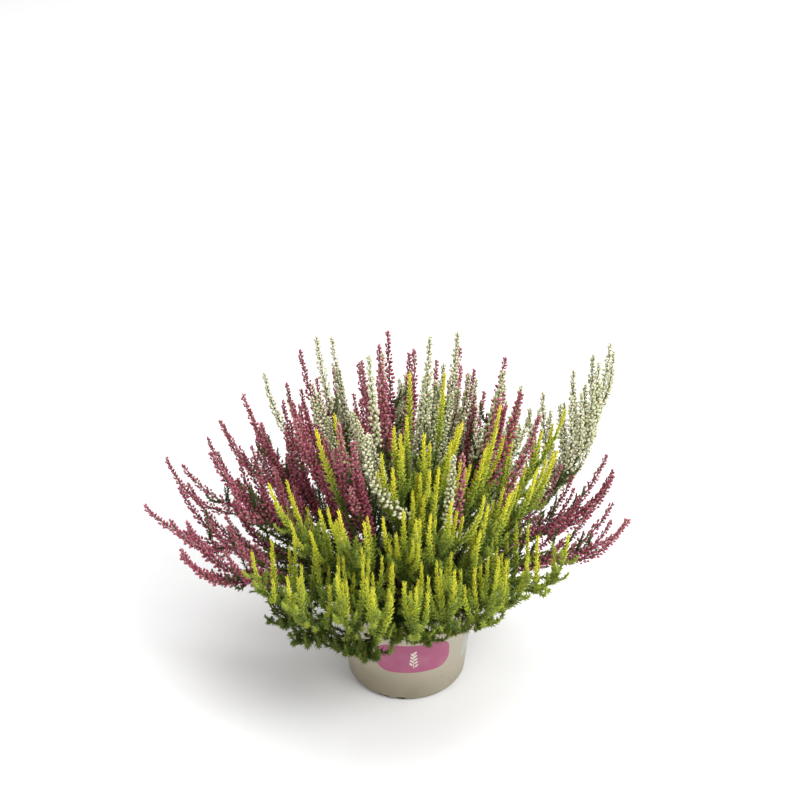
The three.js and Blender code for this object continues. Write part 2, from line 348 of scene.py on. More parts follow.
# How the buds along a sprig differ. A pair is a range to draw from, but slimming and closing say over which
# share of the length the sprig grows thinner and its buds close.
budSpread = {"turn": 137.5, "turnBy": 14, "out": (0.82, 1.12), "core": 0.5, "coreEvery": 3,
             "open": (0.8, 1.15), "size": (0.8, 1.12), "slimming": (0.4, 1.02), "closing": (0.7, 1),
             "closeBy": 0.5}
leafAmong = {"every": 10, "turn": 70, "open": (30, 50), "out": 0.7, "wide": 0.6, "long": 2.3}
tipBud = {"wide": 0.6, "long": 0.9, "tone": 0.6}
leafSides, budSides = 4, 5
layerNames = ("bud", "tone", "tipward", "depth")
up = Vector((0, 0, 1))


def layersOf(bm):
    return {name: bm.verts.layers.float.get(name) or bm.verts.layers.float.new(name) for name in layerNames}


# A direction that opens from ahead towards a side, by an angle in degrees
def opened(side, ahead, degrees):
    opening = math.radians(degrees)
    return side * math.sin(opening) + ahead * math.cos(opening)


# One bud or scale leaf: an ovoid or a small pointed cone
def addBud(bm, layers, place, pointing, wide, long, bud, tone):
    turn = pointing.to_track_quat("Z", "Y").to_matrix().to_4x4()
    matrix = Matrix.Translation(place) @ turn @ Matrix.Diagonal((wide, wide, long, 1))
    if bud:
        made = bmesh.ops.create_uvsphere(bm, u_segments=budSides, v_segments=2, radius=1, matrix=matrix)
    else:
        made = bmesh.ops.create_cone(bm, cap_ends=True, segments=leafSides, radius1=1, radius2=0, depth=2,
                                     matrix=matrix)
    for v in made["verts"]:
        v[layers["bud"]], v[layers["tone"]] = bud, tone
        v[layers["tipward"]] = 0.5 + 0.5 * (v.co - place).dot(pointing) / long


# A straight length of buds or leaves in a spiral, from 0 up to its length. Every third one sits closer to the
# stem, so that the spike has a filled core.
def makeSprig(name, look, length, seed):
    bm = bmesh.new()
    layers = layersOf(bm)
    draw = drawsFrom(seed)
    for i in range(int(length / look["pitch"])):
        z = look["pitch"] * (i + 0.5)
        share = z / length
        slim = 1 - look["taper"] * easeBetween(*budSpread["slimming"], share)
        angle = budSpread["turn"] * i + draw(-budSpread["turnBy"], budSpread["turnBy"])
        core = budSpread["core"] if i % budSpread["coreEvery"] == 0 else 1
        out = look["out"] * slim * draw(*budSpread["out"]) * core
        closed = 1 - budSpread["closeBy"] * easeBetween(*budSpread["closing"], share)
        side = polar(angle, 1, 0)
        pointing = opened(side, up, look["open"] * closed * draw(*budSpread["open"]))
        size = (0.5 + 0.5 * slim) * draw(*budSpread["size"])
        addBud(bm, layers, side * out + up * z, pointing, look["wide"] * size, look["long"] * size,
               look["bud"], draw(0, 1))
        if i % leafAmong["every"] < look["leaves"]:
            leafSide = polar(angle + leafAmong["turn"], 1, 0)
            leafPointing = opened(leafSide, up, draw(*leafAmong["open"]))
            addBud(bm, layers, leafSide * (out * leafAmong["out"]) + up * z, leafPointing, leafAmong["wide"],
                   leafAmong["long"] * size, 0, draw(0, 1))
    addBud(bm, layers, up * length, up, look["wide"] * tipBud["wide"], look["long"] * tipBud["long"],
           look["bud"], tipBud["tone"])
    return meshOf(name, bm)


# A bare stem of length and radius 1, cut across so that it can be bent. Its tipward value marks it as bark.
stemShape = {"sides": 5, "tip": 0.45, "cuts": 9, "thick": 0.9, "tone": 0.4, "bark": -1}


def makeStem():
    bm = bmesh.new()
    layers = layersOf(bm)
    bmesh.ops.create_cone(bm, cap_ends=True, segments=stemShape["sides"], radius1=1, radius2=stemShape["tip"],
                          depth=1, matrix=Matrix.Translation((0, 0, 0.5)))
    lengths = [e for e in bm.edges if abs(e.verts[0].co.z - e.verts[1].co.z) > 0.5]
    bmesh.ops.subdivide_edges(bm, edges=lengths, cuts=stemShape["cuts"], use_grid_fill=True)
    for v in bm.verts:
        v[layers["tone"]], v[layers["tipward"]] = stemShape["tone"], stemShape["bark"]
    return meshOf("stem_length", bm)


toneShare = {"own": 0.62, "shoot": 0.38}  # how much of a bud's tone is its own, and how much its shoot's
depthStep = 100  # millimetres down a shoot for each 1 of its depth value
fullTurn = 6.28  # in radians


# Bends a straight length on to a shoot's line between two distances along it. shade moves its colour down the
# shoot, darker, as painted shade, and blush lightens or deepens all of its buds.
def layAlong(bm, straight, span, line, start, end, turn=0, swell=1, shade=0, blush=0.5):
    known = len(bm.verts)
    bm.from_mesh(straight)
    bm.verts.ensure_lookup_table()
    depth, tone = bm.verts.layers.float["depth"], bm.verts.layers.float["tone"]
    c, s = math.cos(turn) * swell, math.sin(turn) * swell
    scale = (end - start) / span
    for i in range(known, len(bm.verts)):
        v = bm.verts[i]
        x, y, z = v.co
        distance = start + z * scale
        past = max(0, distance - line.length)
        point, ahead, across, over = line.frameAt(min(line.length, max(0, distance)))
        v.co = point + across * (x * c - y * s) + over * (x * s + y * c) + ahead * past
        v[depth] = (line.length - distance) / depthStep + shade
        v[tone] = v[tone] * toneShare["own"] + blush * toneShare["shoot"]


# A leafy twig of a drawn kind
def layTwig(bm, line, start, end, draw, thick, shade, turned=True):
    mesh = twigMeshes[int(draw(0, twigKinds["each"]))]
    turn = draw(0, fullTurn) if turned else 0
    layAlong(bm, mesh, twigKinds["length"], line, start, end, turn, thick, shade, draw(0, 1))


def layStem(bm, line):
    layAlong(bm, stemMesh, 1, line, 0, line.length, 0, stemShape["thick"])


sprigMeshes = {}
for variety, look in sprigs.items():
    for length in sprigKinds["lengths"]:
        for kind in range(sprigKinds["each"]):
            seed = sprigKinds["seedStep"] * (len(sprigMeshes) + sprigKinds["seedFrom"])
            sprigMeshes[variety, length, kind] = makeSprig(f"{variety}_sprig", look, length, seed)
twigMeshes = [makeSprig("leafy_twig", leafTwig, twigKinds["length"],
                        twigKinds["seedFrom"] + twigKinds["seedStep"] * kind)
              for kind in range(twigKinds["each"])]
stemMesh = makeStem()
print("sprigs made")

# length is that of the budded or leafy tip, thick swells it, and crowd is the share of added shoots it gets
clothing = {
    "golden": {"length": 84, "thick": 1.08, "crowd": 0.7, "slot": "golden_shoots"},
    "green": {"length": 50, "thick": 1.1, "crowd": 1, "slot": "green_foliage"},
    "rose": {"length": 92, "thick": 1.08, "crowd": 1, "slot": "rose_buds"},
    "cream": {"length": 90, "thick": 1.1, "crowd": 1, "slot": "cream_buds"},
}
# For each tier: the shoots that stand beside the part's own and how far they fan out, how far their colour is
# moved down the shoot as painted shade, the share of the main stem that the small leafy twigs cover, and the
# longest of these
dressing = {
    "heart": {"shoots": 5, "spread": 15, "shade": 0.0, "twigsTo": 0.55, "twig": 46},
    "inner": {"shoots": 7, "spread": 18, "shade": 0.0, "twigsTo": 0.7, "twig": 54},
    "outer": {"shoots": 7, "spread": 20, "shade": 0.02, "twigsTo": 0.72, "twig": 56},
    "rim": {"shoots": 5, "spread": 18, "shade": 0.06, "twigsTo": 0.75, "twig": 60},
    "plume": {"shoots": 12, "spread": 13, "shade": 0.0, "twigsTo": 0.5, "twig": 36},
    "front": {"shoots": 7, "spread": 13, "shade": 0.1, "twigsTo": 0.85, "twig": 52},
    "skirt": {"shoots": 11, "spread": 17, "shade": 0.26, "twigsTo": 0.95, "twig": 26},
    "apron": {"shoots": 7, "spread": 13, "shade": 0.12, "twigsTo": 0.9, "twig": 26},
}
# The budded tip of a shoot, then leafy twigs end to end below it
covering = {"length": (0.82, 1.12), "most": 0.92, "shade": (-0.05, 0.1), "bareFoot": 6, "twig": (0.9, 1.1),
            "overlap": 2, "twigThick": 1.15}
# The added shoots: how far below and above the part's own they may leave the stem, and ranges for the rest.
# Their height is a share of the spray's top.
adding = {"below": 0.1, "above": 0.14, "place": (0.2, 0.8), "fan": (0.25, 1.5), "length": (0.6, 1.15),
          "height": (0.82, 1.06), "thick": (0.8, 1.02)}
# The leafy twigs that stand off the main stem. A twig's curve is given by shares of its length, ahead and up,
# and its shade moves its colour far down the ramp, as painted shade inside the spray.
twigs = {"every": 5.5, "gap": (0.7, 1.3), "from": 0.14, "foot": 2, "shortest": 0.5, "open": (30, 70),
         "curve": ((0.35, 0), (0.62, 0.12), (0.7, 0.45)), "thick": 1.1, "shade": 0.55, "tipward": 0.7}


def nearestLength(wanted):
    return min(sprigKinds["lengths"], key=lambda length: abs(length - wanted))


def clotheShoot(bm, variety, line, draw, thick, bareTo=0.0, shade=0.0):
    wanted = min(clothing[variety]["length"] * draw(*covering["length"]), line.length * covering["most"])
    start = line.length - wanted
    length = nearestLength(wanted)
    mesh = sprigMeshes[variety, length, int(draw(0, sprigKinds["each"]))]
    blush = draw(0, 1)
    layAlong(bm, mesh, length, line, start, line.length, draw(0, fullTurn), thick,
             shade + draw(*covering["shade"]), blush)
    while start > max(bareTo, covering["bareFoot"]):
        below = max(bareTo, start - twigKinds["length"] * draw(*covering["twig"]))
        layTwig(bm, line, below, start + covering["overlap"], draw, covering["twigThick"], shade)
        start = below
    layStem(bm, line)


def twigFrom(line, distance, longest, draw):
    point, ahead, across, over = line.frameAt(distance)
    angle = draw(0, 360)
    side = across * cosine(angle) + over * cosine(angle - 90)
    leave = opened(side, ahead, draw(*twigs["open"]))
    length = longest * draw(twigs["shortest"], 1) * (1 - twigs["tipward"] * distance / line.length)
    handles = [point] + [point + leave * (length * out) + up * (length * rise)
                         for out, rise in twigs["curve"]]
    square = side.cross(leave)
    return Line(handles, square.normalized() if square.length > 0.01 else across)


def makeSpray(spray, material):
    bm = bmesh.new()
    layersOf(bm)
    draw, tier, main, variety = spray["draw"], spray["tier"], spray["main"], spray["variety"]
    dress = dressing[tier["name"]]
    lines = list(spray["sides"])
    low, high = min(tier["forks"]) - adding["below"], max(tier["forks"]) + adding["above"]
    more = round(dress["shoots"] * clothing[variety]["crowd"])
    for k in range(more):
        at = low + (high - low) * (k + draw(*adding["place"])) / more
        fan = (-1 if k % 2 else 1) * dress["spread"] * draw(*adding["fan"])
        length = tier["shoot"] * draw(*adding["length"])
        top = spray["ceiling"] * draw(*adding["height"])
        lines.append(sideShoot(main, tier, at, fan, length, spray["outward"], spray["sideways"], top))
    bareTo = main.length * twigs["from"]
    thick = clothing[variety]["thick"]
    clotheShoot(bm, variety, main, draw, thick, bareTo, dress["shade"])
    for line in lines:
        clotheShoot(bm, variety, line, draw, thick * draw(*adding["thick"]), 0, dress["shade"])
    distance = bareTo
    while distance < main.length * dress["twigsTo"]:
        line = twigFrom(main, distance, dress["twig"], draw)
        layTwig(bm, line, twigs["foot"], line.length, draw, twigs["thick"], twigs["shade"], turned=False)
        distance += twigs["every"] * draw(*twigs["gap"])
    piece = pieceOf(spray["name"] + "_finish", inMetres(bm), material)
    return onPlant(piece, clothing[variety]["slot"], spray["name"])


# Leaves and buds: a leaf's colour runs from the shoot's tip down its stem. It is the leaves' own yellow or
# green near the tip, then painted shade, near black, deep in the plant. A bud's colour differs from bud to
# bud.
leafShades = {"reach": 3, "patchScale": 38, "patches": 0.16, "tones": 0.05, "tipFrom": 0.35,
              "tip": (1, 1, 0.55)}
budShades = {"tones": 0.75, "patches": 0.25, "tipward": 0.18}
barkColour = (0.10, 0.065, 0.03)


def plantFinish(name, leafStops, budStops, tipGlow):
    finish = Finish(name, Roughness=0.62, Specular_IOR_Level=0.3, Subsurface_Weight=0.08,
                    Subsurface_Scale=0.004)
    depth, tone = finish.attribute("depth"), finish.attribute("tone")
    bud, tipward = finish.attribute("bud"), finish.attribute("tipward")
    patches = finish.noise(leafShades["patchScale"])
    uneven = (patches - 0.5) * leafShades["patches"]
    leaf = finish.ramp(depth / leafShades["reach"] + uneven + (tone - 0.5) * leafShades["tones"], *leafStops)
    glow = tipward.above(leafShades["tipFrom"], 1) * tipGlow
    leaf = finish.mix(glow, leaf, leafShades["tip"], "SOFT_LIGHT")
    mottled = tone * budShades["tones"] + patches * budShades["patches"]
    petals = finish.ramp(mottled + (tipward - 0.5) * budShades["tipward"], *budStops)
    colour = finish.mix(bud, leaf, petals)
    colour = finish.mix(tipward.below(stemShape["bark"] / 2), colour, barkColour)
    return finish.feed(Base_Color=colour)


# Leaf ramps: the leaves' own colour near the tip, then painted shade darkening to near black down the shoot
goldenLeafIntoShade = ((0.0, (0.86, 0.78, 0.05)), (0.078, (0.65, 0.655, 0.046)), (0.16, (0.37, 0.45, 0.048)),
              (0.255, (0.15, 0.228, 0.04)), (0.375, (0.042, 0.084, 0.022)), (0.58, (0.013, 0.03, 0.009)),
              (1.0, (0.007, 0.016, 0.004)))
greenLeafIntoShade = ((0.0, (0.22, 0.27, 0.02)), (0.1, (0.115, 0.18, 0.018)), (0.25, (0.045, 0.09, 0.013)),
             (0.5, (0.018, 0.04, 0.009)), (1.0, (0.008, 0.016, 0.005)))
darkLeafIntoShade = ((0.0, (0.13, 0.14, 0.04)), (0.2, (0.08, 0.11, 0.03)), (0.35, (0.036, 0.065, 0.016)),
            (0.6, (0.014, 0.03, 0.008)), (1.0, (0.008, 0.015, 0.005)))
paleLeafIntoShade = ((0.0, (0.30, 0.36, 0.14)), (0.22, (0.16, 0.22, 0.07)), (0.38, (0.055, 0.10, 0.026)),
            (0.6, (0.018, 0.038, 0.01)), (1.0, (0.008, 0.016, 0.005)))
roseBuds = ((0.0, (0.17, 0.023, 0.048)), (0.28, (0.33, 0.053, 0.106)), (0.55, (0.45, 0.115, 0.18)),
            (0.8, (0.52, 0.22, 0.255)), (1.0, (0.60, 0.40, 0.37)))
creamBuds = ((0.0, (0.38, 0.43, 0.20)), (0.35, (0.60, 0.62, 0.38)), (0.7, (0.78, 0.76, 0.56)),
             (1.0, (0.86, 0.83, 0.71)))
# The golden and green plants have no buds, so two leaf colours stand in their bud ramp
plantFinishes = {
    "golden": plantFinish("golden scale leaves", goldenLeafIntoShade, goldenLeafIntoShade[:2], 0.5),
    "green": plantFinish("green scale leaves", greenLeafIntoShade, greenLeafIntoShade[:2], 0.4),
    "rose": plantFinish("rose buds", darkLeafIntoShade, roseBuds, 0.15),
    "cream": plantFinish("cream buds", paleLeafIntoShade, creamBuds, 0.15),
}
pieces = [makeSpray(spray, plantFinishes[spray["variety"]]) for spray in layOut()]
print("sprays made:", len(pieces))


# Single shoots that stand out among the others, each by its foot in the soil and its tip, and one crooked
# cream one in front, by the handles of its curve. facing is the side that their cross-section is turned to.
singles = {
    "golden": {"thick": 1.2, "seed": 619,
               "shoots": (((-22, -34), (-77, -45, 302)), ((-14, -36), (-62, -35, 311)),
                          ((12, -30), (14, -42, 296)))},
    "rose": {"thick": 1.2, "seed": 617,
             "shoots": (((36, -12), (98, 0, 309)), ((40, -18), (114, -10, 291)), ((28, -30), (47, -50, 279)),
                        ((-24, -28), (-46, -55, 296)), ((34, -6), (80, 4, 300)))},
    "cream": {"thick": 1.1, "seed": 618,
              "shoots": (((22, -36), (39, -60, 286)), ((30, 10), (84, 22, 318)))},
}
singleCurve = {"sunk": 2, "leave": (0.4, 0.35), "arrive": (0.12, 0.3), "thick": (0.9, 1.1),
               "facing": (0, -1, 0.1)}
crooked = {"foot": (34, -30), "points": ((26, -46, 188), (-6, -64, 226), (-40, -64, 252), (-34, -46, 298)),
           "thick": 1.35, "facing": (0, -1, 0.2), "twigsFrom": 10, "bareTop": 20, "twigEvery": 28}


def singleLine(foot, tip):
    low, high = Vector((*foot, soilTop - singleCurve["sunk"])), Vector(tip)
    rise = high.z - low.z
    outward, leaveRise = singleCurve["leave"]
    inward, arriveDrop = singleCurve["arrive"]
    leave = low + Vector((foot[0] * outward, foot[1] * outward, rise * leaveRise))
    arrive = high + Vector(((foot[0] - tip[0]) * inward, (foot[1] - tip[1]) * inward, -rise * arriveDrop))
    return Line((low, leave, arrive, high), Vector(singleCurve["facing"]).normalized())


def addCrooked(bm, draw):
    bend = [Vector(p) for p in crooked["points"]]
    stem = singleLine(crooked["foot"], bend[0])
    layStem(bm, stem)
    long = twigKinds["length"]
    for start in range(crooked["twigsFrom"], int(stem.length) - crooked["bareTop"], crooked["twigEvery"]):
        layAlong(bm, twigMeshes[0], long, stem, start, start + long, start, twigs["thick"], twigs["shade"])
    clotheShoot(bm, "cream", Line(bend, Vector(crooked["facing"]).normalized()), draw, crooked["thick"])


def makeSingles(variety, single):
    bm = bmesh.new()
    layersOf(bm)
    draw = drawsFrom(single["seed"])
    for foot, tip in single["shoots"]:
        thick = single["thick"] * draw(*singleCurve["thick"])
        clotheShoot(bm, variety, singleLine(foot, tip), draw, thick)
    if variety == "cream":
        addCrooked(bm, draw)
    piece = pieceOf(variety + "_single_shoots", inMetres(bm), plantFinishes[variety])
    return onPlant(piece, clothing[variety]["slot"])


pieces += [makeSingles(variety, single) for variety, single in singles.items()]

# Short leafy shoots low down between the sprays, from the soil out over the lip, round the left, the front
# and the right. tops and leave give two kinds, a rising and a low one, and low ones stand only before lowTo.
# Their shade moves their colour down the green ramp, as painted shade low in the plant.
undergrowth = {
    "rings": ({"shoots": 60, "from": 142, "to": 352, "reach": (88, 132), "tops": ((22, 74), (-3, 26))},
              {"shoots": 22, "from": 148, "to": 216, "reach": (116, 160), "tops": ((36, 84), (8, 46))},
              {"shoots": 14, "from": 336, "to": 384, "reach": (100, 140), "tops": ((14, 66), (8, 46))}),
    "foot": (40, 56), "sunk": 1, "leave": (24, 20), "leaveOut": 12, "lowTo": 228, "sweep": 9,
    "arrive": 0.86, "arch": (0.6, 44), "place": (0.1, 0.9), "thick": 1.3, "shade": 0.22,
    "shadeBy": (-0.12, 0.2), "bareFoot": 6, "shortest": 12, "overlap": 2, "seed": 1777,
}


def leafyLine(ring, azimuth, low, draw):
    foot, reach = draw(*undergrowth["foot"]), draw(*ring["reach"])
    top = potSize["height"] + draw(*ring["tops"][low])
    turn = draw(-1, 1) * undergrowth["sweep"]
    share, lift = undergrowth["arch"]
    handles = (polar(azimuth, foot, soilTop - undergrowth["sunk"]),
               polar(azimuth, foot + undergrowth["leaveOut"], soilTop + undergrowth["leave"][low]),
               polar(azimuth + turn, reach * undergrowth["arrive"], top * share + lift),
               polar(azimuth + turn, reach, top))
    return Line(handles, polar(azimuth + 90, 1, 0))


def makeUndergrowth():
    bm = bmesh.new()
    layersOf(bm)
    draw = drawsFrom(undergrowth["seed"])
    for ring in undergrowth["rings"]:
        step = (ring["to"] - ring["from"]) / ring["shoots"]
        for k in range(ring["shoots"]):
            azimuth = ring["from"] + step * (k + draw(*undergrowth["place"]))
            line = leafyLine(ring, azimuth, k % 2 if azimuth < undergrowth["lowTo"] else 0, draw)
            shade = undergrowth["shade"] + draw(*undergrowth["shadeBy"])
            start = undergrowth["bareFoot"]
            while start < line.length - undergrowth["shortest"]:
                end = min(start + twigKinds["length"], line.length)
                layTwig(bm, line, start, end, draw, undergrowth["thick"], shade)
                start = end - undergrowth["overlap"]
            layStem(bm, line)
    return onPlant(pieceOf("leafy_undergrowth", inMetres(bm), plantFinishes["green"]), "green_foliage")


pieces.append(makeUndergrowth())
print("shoots between the sprays made")


# The pot: its wall spun round, with drainage slots cut through the edge of its foot
drain = {"pairs": 3, "width": 9, "height": 3.4, "apart": 17, "firstPair": 256, "reachIn": 5}
slotAzimuths = [drain["firstPair"] + pair * 360 / drain["pairs"] + side * drain["apart"] / 2
                for pair in range(drain["pairs"]) for side in (-1, 1)]
# wallAt and neck place the wall's rings, neck as a depth under the lip, and bevel is the corner's shares of
# the foot's bevel. The lip's edges are distances in from its radius, each with one up from the lip's foot or
# down from its top. sharpFrom is in degrees.
potProfile = {"wallAt": (30, 60), "bevel": (0.3, 0.32), "neck": 1.4, "lipFoot": ((0.35, -0.5), (0, 0)),
              "lipTop": ((0, 0.8), (0.25, 0.25), (0.8, 0)), "weld": 0.001, "sharpFrom": 32}


def wallRadius(z):
    return potSize["footRadius"] + (potSize["rimRadius"] - potSize["footRadius"]) * z / potSize["height"]


def makePot():
    height, foot, floor = potSize["height"], potSize["footRadius"], potSize["floor"]
    wall, bevel = potSize["wall"], potSize["footBevel"]
    lip = potSize["rimRadius"] + potSize["lipProud"]
    underLip = height - potSize["lipHeight"]
    bevelIn, bevelUp = potProfile["bevel"]
    profile = [(0, 0), (foot - bevel, 0), (foot - bevel * bevelIn, bevel * bevelUp)]
    profile += [(wallRadius(z), z) for z in (bevel, *potProfile["wallAt"], underLip - potProfile["neck"])]
    profile += [(lip - inward, underLip + rise) for inward, rise in potProfile["lipFoot"]]
    profile += [(lip - inward, height - drop) for inward, drop in potProfile["lipTop"]]
    profile += [(potSize["rimRadius"] - wall, height), (wallRadius(floor) - wall, floor), (0, floor)]
    bm = bmesh.new()
    verts = [bm.verts.new((r, 0, z)) for r, z in profile]
    edges = [bm.edges.new(pair) for pair in zip(verts, verts[1:])]
    bmesh.ops.spin(bm, geom=verts + edges, cent=(0, 0, 0), axis=(0, 0, 1), angle=math.tau,
                   steps=potSize["steps"], use_merge=True)
    bmesh.ops.remove_doubles(bm, verts=bm.verts, dist=potProfile["weld"])
    bmesh.ops.recalc_face_normals(bm, faces=bm.faces)
    return inMetres(bm)


# Box cutters, which reach as far below the pot as into it
def makeSlots():
    bm = bmesh.new()
    depth = drain["reachIn"] + potSize["wall"] * 2
    middle = potSize["footRadius"] - drain["reachIn"] / 2 + potSize["wall"]
    for azimuth in slotAzimuths:
        matrix = (Matrix.Rotation(math.radians(azimuth), 4, "Z") @ Matrix.Translation((middle * mm, 0, 0))
                  @ Matrix.Diagonal((depth * mm, drain["width"] * mm, drain["height"] * 2 * mm, 1)))
        bmesh.ops.create_cube(bm, size=1, matrix=matrix)
    return bm


# Heights and distances are in metres here, as Object coordinates are. mottle, specks, speckPlaces and grain
# are the scale and detail of a noise. The darkening towards the bottom, the darkening low on the left, and
# roughness take the mottling's share in each and its least. Both darkenings are partly dirt and partly
# painted shade.
potLook = {
    "plastic": ((0.3, (0.42, 0.375, 0.285)), (0.7, (0.50, 0.455, 0.355))), "mottle": (26, 5),
    "soiledAndShaded": (0.22, 0.185, 0.115), "dustAndShadeHeight": (0.0, 0.075), "dustAndShade": (0.42, 0.24),
    "splashAndShadeHeight": (0.0, 0.06), "splashAndShadeSide": (-0.02, 0.05), "splashAndShade": (0.7, 0.2),
    "speck": (0.11, 0.065, 0.03), "specks": (520, 1), "speckRange": (0.70, 0.74), "speckShare": 0.8,
    "speckPlaces": (30, 2), "placeRange": (0.5, 0.62),
    # Painted shade: a near-black brown inside the drainage slots, on the lowest ring of the foot's bevel and
    # underneath
    "slot": (0.03, 0.02, 0.012), "slotShadeRadius": (0.0538, 0.0548), "slotShadeHeight": (0.0035, 0.004),
    "roughness": (0.16, 0.40), "grain": (900, 2), "grainBump": (0.12, 0.0004),
}


def potFinish():
    finish = Finish("taupe moulded plastic", Roughness=0.48, Specular_IOR_Level=0.45)
    place = finish.objectPlace()
    across, deep, height = (finish.node("ShaderNodeSeparateXYZ", None, {"Vector": place}, out=axis)
                            for axis in "XYZ")
    mottle = finish.noise(*potLook["mottle"], place)

    def mottled(amount):
        return mottle * amount[0] + amount[1]

    colour = finish.ramp(mottle, *potLook["plastic"])
    # Darker towards the bottom, and more so low on the left: dirt and painted shade together
    dustAndShadeMask = (1 - height.above(*potLook["dustAndShadeHeight"])) * mottled(potLook["dustAndShade"])
    splashAndShadeMask = ((1 - height.above(*potLook["splashAndShadeHeight"])) * (1 - across.above(*potLook["splashAndShadeSide"]))
                * mottled(potLook["splashAndShade"]))
    colour = finish.mix(dustAndShadeMask + splashAndShadeMask, colour, potLook["soiledAndShaded"])
    specks = finish.noise(*potLook["specks"], place).above(*potLook["speckRange"])
    where = finish.noise(*potLook["speckPlaces"], place).above(*potLook["placeRange"])
    colour = finish.mix(specks * where * potLook["speckShare"], colour, potLook["speck"])
    fromMiddle = (across * across + deep * deep).power(0.5)
    # Painted shade in the slots and under the foot
    slotShadeMask = (1 - fromMiddle.above(*potLook["slotShadeRadius"])) * (1 - height.above(*potLook["slotShadeHeight"]))
    colour = finish.mix(slotShadeMask, colour, potLook["slot"])
    grain = finish.bump(finish.noise(*potLook["grain"], place), *potLook["grainBump"])
    return finish.feed(Base_Color=colour, Roughness=mottled(potLook["roughness"]), Normal=grain)


potPiece = pieceOf("pot_finish", makePot(), potFinish())
slots = pieceOf("slot_cutters", makeSlots())
cut = potPiece.modifiers.new("slots", "BOOLEAN")
cut.object, cut.operation, cut.solver = slots, "DIFFERENCE", "EXACT"
bpy.context.view_layer.update()
whole = bpy.data.meshes.new_from_object(potPiece.evaluated_get(bpy.context.evaluated_depsgraph_get()))
potPiece.modifiers.clear()
potPiece.data = whole
bpy.data.objects.remove(slots)
whole.shade_smooth()
whole.set_sharp_from_angle(angle=math.radians(potProfile["sharpFrom"]))
onPlant(potPiece, "pot", "pot")
print("pot made")

# Thin pieces laid round the pot's wall: a printed patch in front, plain but for a pale sprig, and a bare
# paper label on the right. Azimuth and middle say where, colours are the print's own and where it is worn,
# and the rest is in millimetres. The motif's places are from the patch's middle.
patch = {"azimuth": 276, "middle": 55.5, "wide": 72, "high": 36, "corner": 14, "proud": 0.12,
         "colours": ((0.36, 0.075, 0.165), (0.40, 0.14, 0.215))}
motif = {"leaves": 9, "leaf": (1.05, 2.4), "leafSides": 14, "low": -8.5, "rise": 2.1, "out": 2.6,
         "narrowing": 0.07, "turn": 38, "leafProud": 0.09, "stem": (0.35, 10.5), "stemMiddle": -1.2,
         "stemProud": 0.08, "colours": ((0.72, 0.66, 0.58), (0.62, 0.52, 0.47))}
label = {"azimuth": 355, "middle": 59, "wide": 52, "high": 56, "corner": 1.5, "proud": 0.16,
         "colours": ((0.41, 0.42, 0.37), (0.36, 0.365, 0.32))}
sheetForm = {"cornerSteps": 8, "bendEvery": 3}
wear = {"noise": (60, 4), "range": (0.45, 0.75), "share": 0.6}


def layRound(bm, sheet):
    for v in bm.verts:
        z = sheet["middle"] + v.co.y
        azimuth = sheet["azimuth"] + math.degrees(v.co.x / wallRadius(z))
        v.co = polar(azimuth, wallRadius(z) + sheet["proud"] + v.co.z, z) * mm
    for face in bm.faces:
        middle = face.calc_center_median()
        face.normal_update()
        if face.normal.dot(Vector((middle.x, middle.y, 0))) < 0:
            face.normal_flip()


# A flat sheet with rounded corners, cut across so that it can be bent
def makeSheet(sheet):
    bm = bmesh.new()
    w, h = sheet["wide"] / 2, sheet["high"] / 2
    face = bm.faces.new([bm.verts.new((x, y, 0)) for x, y in ((-w, -h), (w, -h), (w, h), (-w, h))])
    bmesh.ops.bevel(bm, geom=list(face.verts), offset=sheet["corner"], segments=sheetForm["cornerSteps"],
                    profile=0.5, affect="VERTICES", material=-1)
    cuts = int(sheet["wide"] / sheetForm["bendEvery"])
    for k in range(1, cuts):
        bmesh.ops.bisect_plane(bm, geom=bm.verts[:] + bm.edges[:] + bm.faces[:],
                               plane_co=(-w + 2 * w * k / cuts, 0, 0), plane_no=(1, 0, 0))
    return bm


# A sprig: leaves on both sides of a thin stem
def addMotif(bm):
    for k in range(motif["leaves"]):
        side = -1 if k % 2 else 1
        out = side * motif["out"] * (1 - k * motif["narrowing"])
        spot = Vector((out, motif["low"] + k * motif["rise"], motif["leafProud"]))
        matrix = (Matrix.Translation(spot) @ Matrix.Rotation(-side * math.radians(motif["turn"]), 4, "Z")
                  @ Matrix.Diagonal((*motif["leaf"], 1, 1)))
        bmesh.ops.create_circle(bm, cap_ends=True, segments=motif["leafSides"], radius=1, matrix=matrix)
    stemPlace = Matrix.Translation((0, motif["stemMiddle"], motif["stemProud"]))
    bmesh.ops.create_grid(bm, x_segments=1, y_segments=8, size=1,
                          matrix=stemPlace @ Matrix.Diagonal((*motif["stem"], 1, 1)))


def makePatch():
    bm = makeSheet(patch)
    backing = len(bm.faces)
    addMotif(bm)
    bm.faces.ensure_lookup_table()
    for face in bm.faces[backing:]:
        face.material_index = 1
    layRound(bm, patch)
    return bm


def makeLabel():
    bm = makeSheet(label)
    layRound(bm, label)
    return bm


def printFinish(name, colour, worn):
    finish = Finish(name, Roughness=0.42)
    rubbed = finish.noise(*wear["noise"]).above(*wear["range"])
    return finish.feed(Base_Color=finish.mix(rubbed * wear["share"], colour, worn))


patchFinishes = (printFinish("heather pink print", *patch["colours"]),
                 printFinish("pale print", *motif["colours"]))
onPlant(pieceOf("front_patch", makePatch(), *patchFinishes), "pot")
onPlant(pieceOf("side_label", makeLabel(), printFinish("bare paper label", *label["colours"])), "pot")

